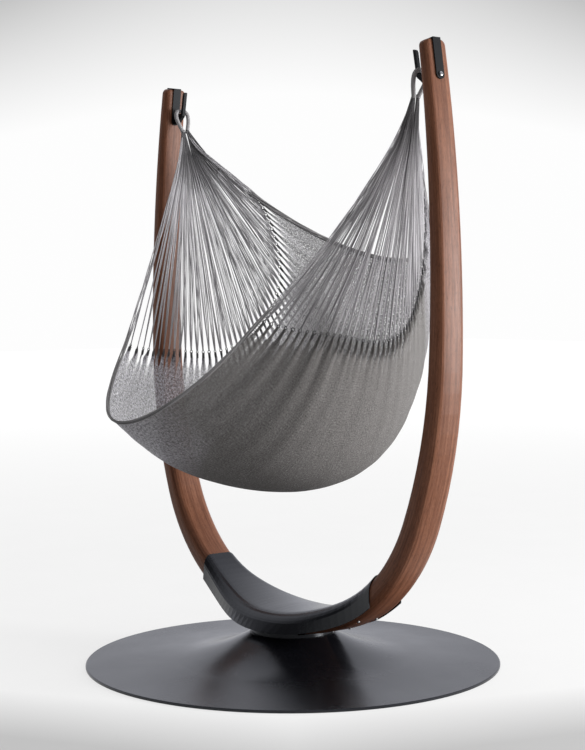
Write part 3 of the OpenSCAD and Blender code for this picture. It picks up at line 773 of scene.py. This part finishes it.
def bare_metal(name, colour, rough, stretch):
    """Machined or rolled metal with fine marks, drawn out across the part by stretch."""
    m = Surface(name, Metallic=1.0)
    marks = m.noise(m.scaled(m.parts(m.place()), stretch), detail=4.0, roughness=0.6)
    dull = tuple(0.72 * c for c in colour)
    m.put(Base_Color=m.ramp(marks, (0.30, dull), (0.70, colour)))
    m.put(Roughness=m.spread(marks, rough + 0.12, rough))
    m.bump(marks, strength=0.12, distance=0.0002)


def rubber_material():
    """Dull moulded rubber with a fine grain."""
    m = Surface("rubber", Roughness=0.8, Specular_IOR_Level=0.3)
    at = m.place()
    tones = ((0.3, (0.018, 0.018, 0.018)), (0.7, (0.035, 0.034, 0.033)))
    m.put(Base_Color=m.ramp(m.noise(at, scale=90.0), *tones))
    m.bump(m.noise(at, scale=600.0), strength=0.2, distance=0.0004)


# The arms' centre line, as in the part's source: four arcs, each tangent to the next
ARM_Z = 0.1498
BEND_R = [0.894, 0.583, 1.472, 4.978]
BEND_A = [math.radians(a) for a in (20.3, 47.4, 20.4, 11.1)]


def bend_centres():
    """Each arc's centre, the angle where it begins and the length of wood before it."""
    x, z, turned, run = 0.0, ARM_Z, 0.0, 0.0
    for radius, angle in zip(BEND_R, BEND_A):
        cx, cz = x - radius * math.sin(turned), z + radius * math.cos(turned)
        yield cx, cz, radius, turned, run
        turned += angle
        run += radius * angle
        x, z = cx + radius * math.sin(turned), cz - radius * math.cos(turned)


# The faces of the wood are crowned by a hair's breadth: how fast the crown falls off across them
CROWN = 1.6
# The grain of one arm begins this much further along the noise than the other's
ARMS_APART = 3.0
WOOD_TONES = ((0.30, (0.092, 0.029, 0.013)), (0.50, (0.195, 0.072, 0.036)), (0.72, (0.325, 0.140, 0.078)))
BROAD_TONE, FIBRE_TONE, PORE_TONE = (0.145, 0.052, 0.026), (0.360, 0.168, 0.104), (0.045, 0.017, 0.010)


def wood_material():
    """Bent timber: its grain follows the arms' arcs, so it runs along the wood from the foot to the tip."""
    m = Surface("wood", Specular_IOR_Level=0.20)
    x, y, z = m.parts(m.place())
    out = m.calc("ABSOLUTE", x)
    run = depth = None
    for cx, cz, radius, turned, before in bend_centres():
        dx, dz = m.less(out, cx), m.less(cz, z)
        angle = m.calc("ARCTAN2", dx, dz)
        here_run = m.calc("MULTIPLY_ADD", m.less(angle, turned), radius, before)
        here_depth = m.less(radius, m.length(dx, dz))
        if run is None:
            run, depth = here_run, here_depth
            continue
        past = m.calc("GREATER_THAN", angle, turned)
        run = m.span(past, 0.0, 1.0, run, here_run)
        depth = m.span(past, 0.0, 1.0, depth, here_depth)
    run = m.plus(run, m.times(m.calc("SIGN", x), ARMS_APART))

    def grain(across, lengthwise, detail, roughness=0.5):
        """Noise with so many waves to the metre across and along the wood."""
        at = m.scaled((y, depth, run), (across, across, lengthwise))
        return m.noise(at, detail=detail, roughness=roughness)

    broad = grain(26.0, 1.6, detail=2.0)
    bands = grain(120.0, 3.2, detail=4.0, roughness=0.6)
    fibres = grain(620.0, 14.0, detail=3.0, roughness=0.6)
    pores = grain(1100.0, 60.0, detail=1.0)
    tone = m.ramp(bands, *WOOD_TONES)
    tone = m.blend(m.spread(broad, 0.0, 0.5), tone, BROAD_TONE)
    tone = m.blend(m.span(fibres, 0.35, 0.7, 0.0, 0.4), tone, FIBRE_TONE)
    tone = m.blend(m.span(pores, 0.58, 0.70, 0.0, 0.7), tone, PORE_TONE)
    m.put(Base_Color=tone)
    m.put(Roughness=m.spread(fibres, 0.48, 0.36))
    crown = m.times(y, y, -CROWN)
    crowned = m.bump(crown, strength=1.0, distance=1.0)
    relief = m.less(fibres, m.times(pores, 0.7))
    m.bump(relief, strength=0.14, distance=0.0003, under=crowned)


# Runs over which the strings get painted shade at the rope, where the bundles lie packed, and places along X over
# which painted light makes the left end's strings paler than the right ones, which lie in the arm's shade
TOP_SHADE_RUNS = (0.10, 0.26)
PAINTED_LIGHT_SIDES = (-0.5, 0.5)
# Tags over which an edge roll's cord becomes a string
STRUNG_TAGS = (1.2, 2.0)


def yarn_material(name, dark, light, twist, turns, plaited_too=False, top_shade=1.0, left_painted_light=1.0, strung=None):
    """Twisted yarn: the place along a tube and round it winds the fibres, whose grooves get painted shade, and each
    yarn has its own tone.

    Painted shade darkens it, by the share given for the top, where the yarns lie packed at the rope; painted light
    makes it paler at the left end, by the share given for the left, as the right end lies in the arm's shade; and it
    takes the tone strung where it is a string.
    """
    m = Surface(name, Roughness=0.86, Specular_IOR_Level=0.2)
    run, round_, tag = m.parts(m.stored())
    along_turn = m.times(run, 2 * math.pi / twist)
    round_turn = m.times(round_, 2 * math.pi * turns)
    lay = m.calc("COSINE", m.plus(along_turn, round_turn))
    if plaited_too:
        lay = m.calc("MAXIMUM", lay, m.calc("COSINE", m.less(along_turn, round_turn)))
    own = m.noise(m.scaled((tag, run, 0.0), (900.0, 3.0, 1.0)), detail=2.0)
    fuzz = m.noise(m.scaled((run, round_, tag), (900.0, 9.0, 1.0)), detail=3.0)
    tone = m.ramp(own, (0.34, dark), (0.66, light))
    if strung is not None:
        tone = m.blend(m.span(tag, *STRUNG_TAGS, 0.0, 1.0), tone, strung)
    x, _, _ = m.parts(m.place())
    # Painted shade in the grooves of the twist and where the yarns lie packed at the rope, and painted light that
    # makes the left end paler than the right, which lies in the arm's shade
    shade = m.times(m.span(lay, -1.0, 0.5, 0.72, 1.0), m.span(run, *TOP_SHADE_RUNS, top_shade, 1.0),
                    m.span(x, *PAINTED_LIGHT_SIDES, left_painted_light, 1.0))
    m.put(Base_Color=m.dimmed(m.dimmed(tone, shade), m.spread(fuzz, 0.86, 1.1)))
    m.bump(m.plus(lay, m.times(fuzz, 0.5)), strength=0.5, distance=0.0004)


# The net's cells, and how far its yarns wander
CELL_ACROSS, CELL_ALONG = 0.0034, 0.0085
NET_WANDER = 0.006
# The cloth is open at its left end, up to this place along it, which moves between two shares of its width
OPEN_TO, OPEN_SHARES, OPEN_FADE = (0.10, -0.48), (0.12, 0.36), 0.14
# It is open towards its back edge too, between these shares of its width
BACK_SHARES = (0.74, 0.86)
# How closed the net is in front, towards the back and at the left end, and how far patches change that
FRONT_CLOSED, BACK_CLOSED, LEFT_CLOSED, PATCHES_CLOSED = 0.80, 0.60, 0.68, 0.12
# It closes up by the knots, apart from a slit between each two of them
CLOSES = (0.030, 0.080)
SLIT_SIDES, SLIT_ENDS, SLIT_OPEN = (0.22, 0.46), (0.04, 0.13), 0.75
# Size of the openings where stitches have drawn apart, how many there are to the metre along and across, and the
# distances from the knots over which they set in
DRAWN_LEFT, DRAWN_BACK = 0.20, 0.24
DRAWN_RATES = (105.0, 125.0)
DRAWN_ENDS = (0.03, 0.06)
# Faint ripples across the threads: their pitch, how they bend, and their height, which sets both their relief and
# their painted shade
RIPPLE_PITCH, RIPPLE_BEND, RIPPLE_SHADE_AND_HEIGHT = 0.0078, 46.0, 0.15
THREAD_TONES = ((0.30, (0.150, 0.142, 0.137)), (0.50, (0.188, 0.179, 0.174)), (0.70, (0.250, 0.240, 0.235)))
# Painted light: paler, lilac tones where the cloth's inside faces the lamp, at the left end and towards the back,
# and how much of them is shown
LIT_TONES = ((0.36, (0.230, 0.222, 0.246)), (0.60, (0.800, 0.780, 0.850)))
LIT_SHARE, LIT_BACK = 0.85, 0.60
# Painted shade: each finger of cloth is darkened near its knot, where it is gathered, over a length and to a depth
# of its own
FINGER_SHADE_TO, FINGER_SHADE = (0.022, 0.075), (0.40, 0.95)


class ClothSurface(Surface):
    """The cloth's material: along, across and from_end tell where a point lies on the flat cloth."""

    def __init__(self):
        super().__init__("cloth", Roughness=0.9, Specular_IOR_Level=0.15)
        self.along, self.across, self.from_end = self.parts(self.stored())
        open_to = self.span(self.across, *(share * FLAT_WIDTH for share in OPEN_SHARES), *OPEN_TO)
        self.left_end = self.span(self.less(self.along, open_to), -OPEN_FADE, OPEN_FADE, 1.0, 0.0)
        self.back_half = self.span(self.across, *(share * FLAT_WIDTH for share in BACK_SHARES), 0.0, 1.0)
        self.cell = self.times(self.across, STRINGS / FLAT_WIDTH)

    def at(self, lengthwise, crosswise):
        """The place for a texture with so many waves to the metre along and across the cloth."""
        return self.scaled((self.along, self.across, 0.0), (lengthwise, crosswise, 1.0))

    def mottle(self, lengthwise, crosswise, detail, roughness=0.5):
        return self.noise(self.at(lengthwise, crosswise), detail=detail, roughness=roughness)

    def gap(self):
        """0 on the yarns, which cross in long diamonds, and 1 in the middle of the holes between them."""
        wander = self.times(self.less(self.mottle(30.0, 30.0, detail=3.0), 0.5), NET_WANDER)
        a = self.times(self.plus(self.across, wander), math.pi / CELL_ACROSS)
        b = self.times(self.along, math.pi / CELL_ALONG)
        one = self.calc("SINE", self.plus(a, b))
        other = self.calc("SINE", self.less(a, b))
        return self.times(one, one, self.times(other, other))

    def closed(self, patches):
        """How closed the net is: open at the left end and the back, in ragged lines, and in slits by the knots."""
        closed = self.span(self.back_half, 0.0, 1.0, FRONT_CLOSED, BACK_CLOSED)
        closed = self.span(self.left_end, 0.0, 1.0, closed, LEFT_CLOSED)
        closed = self.plus(closed, self.spread(patches, -PATCHES_CLOSED, PATCHES_CLOSED))
        off_middle = self.calc("ABSOLUTE", self.less(self.calc("FRACT", self.cell), 0.5))
        slit = self.times(self.span(off_middle, *SLIT_SIDES, 0.0, 1.0),
                          self.span(self.from_end, *SLIT_ENDS, 1.0, 0.0))
        closed = self.calc("MAXIMUM", closed, self.span(self.from_end, *CLOSES, 1.05, 0.0))
        return self.less(closed, self.times(slit, SLIT_OPEN))

    def cover(self):
        """1 on the yarns and 0 in the holes and the larger openings, which are strewn over the open parts."""
        patches = self.mottle(9.0, 60.0, detail=4.0, roughness=0.6)
        cover = self.span(self.less(self.closed(patches), self.gap()), -0.05, 0.05, 0.0, 1.0)
        drawn = self.node("TexVoronoi", self.at(*DRAWN_RATES), voronoi_dimensions="2D")
        drawn.inputs["Scale"].default_value = 1.0
        opening = self.calc("MAXIMUM", self.times(self.left_end, DRAWN_LEFT), self.times(self.back_half, DRAWN_BACK))
        opening = self.times(opening, self.span(patches, 0.3, 0.6, 0.55, 1.0),
                             self.span(self.from_end, *DRAWN_ENDS, 0.0, 1.0))
        edge = self.less(drawn.outputs["Distance"], opening)
        return self.times(cover, self.span(edge, -0.04, 0.04, 0.0, 1.0))

    def paint(self):
        """The yarns' tone and relief: fine lengthwise threads, stitches, and faint ripples that run across them,
        with painted light at the left end and the back, and painted shade on the ripples and by the knots.
        """
        bend = self.times(self.mottle(12.0, 9.0, detail=3.0), RIPPLE_BEND)
        ripple = self.calc("SINE", self.plus(self.times(self.along, 2 * math.pi / RIPPLE_PITCH), bend))
        here = self.span(self.mottle(14.0, 20.0, detail=2.0), 0.35, 0.65, 0.2, 1.0)
        ripple = self.times(ripple, here, RIPPLE_SHADE_AND_HEIGHT)
        stitches = self.mottle(150.0, 240.0, detail=2.0)
        flecks = self.mottle(110.0, 95.0, detail=2.0, roughness=0.6)
        tone = self.ramp(self.mottle(24.0, 300.0, detail=3.0, roughness=0.65), *THREAD_TONES)
        # Painted light: the left end and the back take the paler lit tones
        pale = self.calc("MAXIMUM", self.left_end, self.times(self.back_half, LIT_BACK))
        tone = self.blend(self.times(pale, LIT_SHARE), tone, self.ramp(flecks, *LIT_TONES))
        # Painted shade: the ripples lighten and darken the tone, besides their relief
        grey = self.plus(self.span(stitches, 0.32, 0.68, 0.62, 1.38), ripple)
        # Painted shade towards each knot, where the finger is gathered
        finger = self.joined(self.calc("FLOOR", self.cell), self.calc("SIGN", self.along), 0.0)
        shade_to = self.spread(self.noise(finger, 7.3, 0.0), *FINGER_SHADE_TO)
        depth = self.spread(self.noise(finger, 3.1, 0.0), *FINGER_SHADE)
        grey = self.times(grey, self.span(self.from_end, 0.0, shade_to, depth, 1.0))
        self.put(Base_Color=self.dimmed(tone, grey))
        relief = self.plus(self.times(stitches, 0.8), ripple)
        self.bump(relief, strength=0.5, distance=0.0010)


def cloth_material():
    """Net cloth: yarns that cross in long diamonds, with small holes between them. It closes up at the knots."""
    m = ClothSurface()
    m.paint()
    m.show(m.cover(), m.node("BsdfTransparent"), m.shader)


coated_metal("black_metal", (0.0042, 0.0042, 0.0058), (0.0080, 0.0080, 0.0108), rough=0.19, specular=0.44)
coated_metal("hook_metal", (0.0060, 0.0060, 0.0062), (0.0110, 0.0108, 0.0110), rough=0.46, specular=0.18)
bare_metal("ballast_steel", (0.45, 0.46, 0.48), rough=0.34, stretch=(9.0, 260.0, 60.0))
bare_metal("bearing_steel", (0.62, 0.63, 0.65), rough=0.20, stretch=(60.0, 60.0, 900.0))
bare_metal("bolt_steel", (0.70, 0.71, 0.72), rough=0.24, stretch=(300.0, 300.0, 300.0))
bare_metal("brass", (0.72, 0.55, 0.28), rough=0.26, stretch=(60.0, 60.0, 900.0))
rubber_material()
wood_material()
yarn_material("rope", (0.38, 0.372, 0.38), (0.52, 0.51, 0.52), twist=0.0075, turns=8, plaited_too=True)
# The strings' dark and light tones lie far apart: partly each strand's own tone, partly painted shade between the
# strands
yarn_material("string", (0.20, 0.193, 0.204), (0.74, 0.722, 0.750), twist=0.0050, turns=1,
              top_shade=0.24, left_painted_light=1.25)
yarn_material("edge_cord", (0.22, 0.214, 0.22), (0.46, 0.45, 0.455), twist=0.0060, turns=1,
              strung=(0.62, 0.605, 0.63))
cloth_material()
for slot, pieces in SOFT_PIECES.items():
    for piece in pieces:
        piece.data.materials.append(MATERIALS[slot])

NODE_MATERIAL = {
    "wood": ("arm_left", "arm_right"),
    "black_metal": ("base_disc", "hub_post", "hub_ribs", "swivel_hub", "cradle"),
    "hook_metal": ("hook_left", "hook_right"),
    "ballast_steel": ("floor_plate",),
    "bearing_steel": ("bearing_lower_race", "bearing_upper_race", "bearing_balls", "spindle"),
    "bolt_steel": ("retaining_washer", "retaining_nut", "hub_bolts", "cradle_screws", "cradle_nuts",
                   "hook_bolt_left", "hook_bolt_right"),
    "brass": ("bearing_cage", "spindle_bush", "threaded_inserts"),
    "rubber": ("floor_pads", "dust_seal"),
    "rope": ("rope_loop_left", "rope_loop_right"),
    "string": ("gather_left", "gather_right", "fan_left", "fan_right"),
    "cloth": ("bed",),
    "edge_cord": ("front_edge_rope", "back_edge_rope"),
}
SHARP_EDGE = math.radians(28)
for kind, names in NODE_MATERIAL.items():
    for name in names:
        mesh = NODES[name].data
        mesh.materials.clear()
        mesh.materials.append(MATERIALS[kind])
        mesh.shade_smooth()
        mesh.set_sharp_from_angle(angle=SHARP_EDGE)


# ---------------------------------------- floor, world and light
FLOOR_SIZE = 60.0
# Share of plain white in the floor by the object, and the grey by which the floor lights it from below
BACKGROUND_SHARE = 0.64
BOUNCE_GREY = (0.50, 0.50, 0.50)
# The studio is open and dim on the side that the camera stands on, and white all round the rest
OPEN_SIDE = (0.79, -0.61)
SIDEWAYS = (0.61, 0.79)
DIM_SIDE = (0.15, -0.99)
WORLD_LIGHT, OPEN_LIGHT = 0.86, 0.11
OPEN_MIRROR = 0.12
MIRROR_TINT = (0.90, 0.915, 1.0)
# Painted shade: the floor's glow darkens towards the camera, for the soft shade in front of the object: over these
# distances, between these strengths, and aside a little sooner
FLOOR_SHADE_RUNS, FLOOR_SHOWN, FLOOR_ASIDE = (0.75, 1.25), (1.03, 0.48), 0.4
FLOOR_TONES = ((0.3, 0.885), (0.7, 0.915))
# Distances over which the floor passes into plain white
FLOOR_FAR = (2.5, 12.0)
# The backdrop behind it darkens upwards, and more so aside
BACK_FADE, BACK_SHOWN = (0.016, 0.052), (0.985, 0.55)
BACK_ASIDE, BACK_ASIDE_MOST = 21.0, 0.034
KEY_PLACE, KEY_AIM, KEY_SIZE, KEY_POWER = (4.9, 4.6, 1.3), (0.0, 0.0, 0.9), 3.0, 470.0


def make_floor():
    """A pale floor that keeps the object's shadow, has painted shade towards the camera, and gives back less light
    than it shows.
    """
    bpy.ops.mesh.primitive_plane_add(size=FLOOR_SIZE)
    floor = bpy.context.object
    floor.name = "floor"
    m = Surface("floor", Roughness=0.9, Specular_IOR_Level=0.1)
    x, y, _ = m.parts(m.place())
    pale = m.ramp(m.noise(m.place(), scale=3.0), *FLOOR_TONES)
    m.put(Base_Color=m.blend(m.seen_directly(), BOUNCE_GREY, pale))
    white = m.node("Emission")
    aside = m.calc("MINIMUM", m.calc("ABSOLUTE", m.towards(x, y, SIDEWAYS)), 1.0)
    near = m.calc("MULTIPLY_ADD", aside, FLOOR_ASIDE, m.towards(x, y, OPEN_SIDE))
    # Painted shade on the floor's glow, towards the camera
    m.feed(white.inputs["Strength"], m.span(near, *FLOOR_SHADE_RUNS, *FLOOR_SHOWN))
    share = m.times(m.seen_directly(), m.span(m.length(x, y), *FLOOR_FAR, BACKGROUND_SHARE, 1.0))
    m.show(share, m.shader, white)
    floor.data.materials.append(m.material)


def make_world():
    """White light from most sides, and the backdrop that the camera sees."""
    world = bpy.data.worlds.new("world")
    bpy.context.scene.world = world
    world.use_nodes = True
    m = Nodes(world.node_tree)
    x, y, rise = m.parts(m.node("TexCoord").outputs["Generated"])
    dim = m.towards(x, y, DIM_SIDE)
    light = m.span(dim, -0.1, 0.8, WORLD_LIGHT, OPEN_LIGHT)
    dark_side = m.calc("MAXIMUM", m.span(m.towards(x, y, OPEN_SIDE), 0.0, 0.75, 0.0, 1.0),
                       m.span(dim, 0.05, 0.55, 0.0, 1.0))
    mirror = m.times(m.span(dark_side, 0.0, 1.0, 1.0, OPEN_MIRROR), m.span(rise, 0.02, 0.20, 1.0, 0.84))
    aside = m.towards(x, y, SIDEWAYS)
    aside = m.calc("MINIMUM", m.times(aside, aside), BACK_ASIDE_MOST)
    falloff = m.times(rise, rise, m.calc("MULTIPLY_ADD", aside, BACK_ASIDE, 1.0))
    shown = m.span(falloff, *BACK_FADE, *BACK_SHOWN)
    rays = m.node("LightPath").outputs
    strength = m.span(m.seen_directly(), 0.0, 1.0, light, mirror)
    strength = m.span(rays["Is Camera Ray"], 0.0, 1.0, strength, shown)
    tint = m.blend(rays["Is Glossy Ray"], (1.0, 1.0, 1.0), MIRROR_TINT)
    backdrop = m.tree.nodes["Background"].inputs
    m.feed(backdrop["Color"], tint)
    m.feed(backdrop["Strength"], strength)


def area_light(name, place, aim, size, power):
    """A round soft lamp at place that points at aim."""
    data = bpy.data.lights.new(name, "AREA")
    data.shape, data.size, data.energy = "DISK", size, power
    light = bpy.data.objects.new(name, data)
    light.location = place
    light.rotation_mode = "QUATERNION"
    light.rotation_quaternion = (Vector(aim) - Vector(place)).to_track_quat("-Z", "Y")
    bpy.context.scene.collection.objects.link(light)


make_floor()
make_world()
area_light("key", KEY_PLACE, KEY_AIM, KEY_SIZE, KEY_POWER)
bpy.context.scene.view_settings.view_transform = "Standard"
